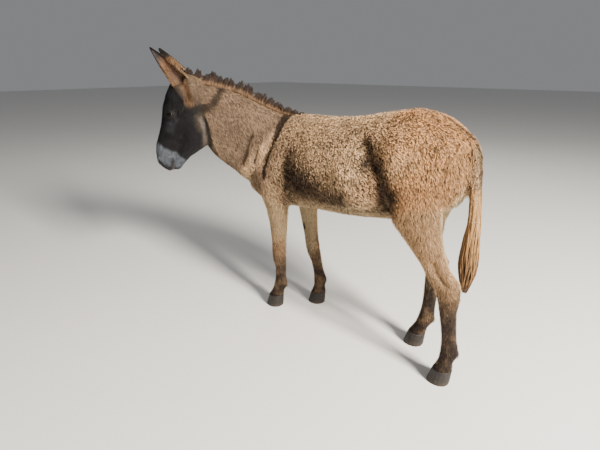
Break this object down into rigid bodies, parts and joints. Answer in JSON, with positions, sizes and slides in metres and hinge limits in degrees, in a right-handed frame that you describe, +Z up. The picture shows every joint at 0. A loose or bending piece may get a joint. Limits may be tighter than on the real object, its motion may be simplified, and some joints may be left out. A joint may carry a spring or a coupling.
{
  "type": "donkey",
  "caption": "Life-size still model of a standing grey-brown donkey in winter coat, neck turned to its left and nose low, one hind foot set back.",
  "frame": {"origin": "on the ground under the middle of the whole animal's box", "axes": "+Z up, the trunk faces -Y and the animal's left side is +X"},
  "size_m": [0.8226, 1.6562, 1.4915],
  "materials": {
    "coat": "woolly taupe winter coat with golden tips and a dark cross over back and shoulders",
    "leg_coat": "short tan hair, soiled brown below the knee and hock",
    "face": "short dark grey-brown hair with a pale muzzle",
    "ear": "short hair, orange-brown inside, black rim and tip, pale tufts at the root",
    "mane": "stiff upright hair, dark brown",
    "tail_hair": "long wavy ginger-brown hair",
    "horn": "dull horn with growth rings and dried dirt",
    "eye": "wet dark brown eye with a level slot pupil"
  },
  "bodies": {
    "root": {"trunk": "coat", "neck": "coat", "head": "face", "mane": "mane", "tail_dock": "coat", "tail_switch": "tail_hair", "ear_left": "ear", "eye_left": "eye", "foreleg_left": "leg_coat", "hoof_fore_left": "horn", "hindleg_left": "leg_coat", "hoof_hind_left": "horn", "ear_right": "ear", "eye_right": "eye", "foreleg_right": "leg_coat", "hoof_fore_right": "horn", "hindleg_right": "leg_coat", "hoof_hind_right": "horn"}
  },
  "joints": []
}
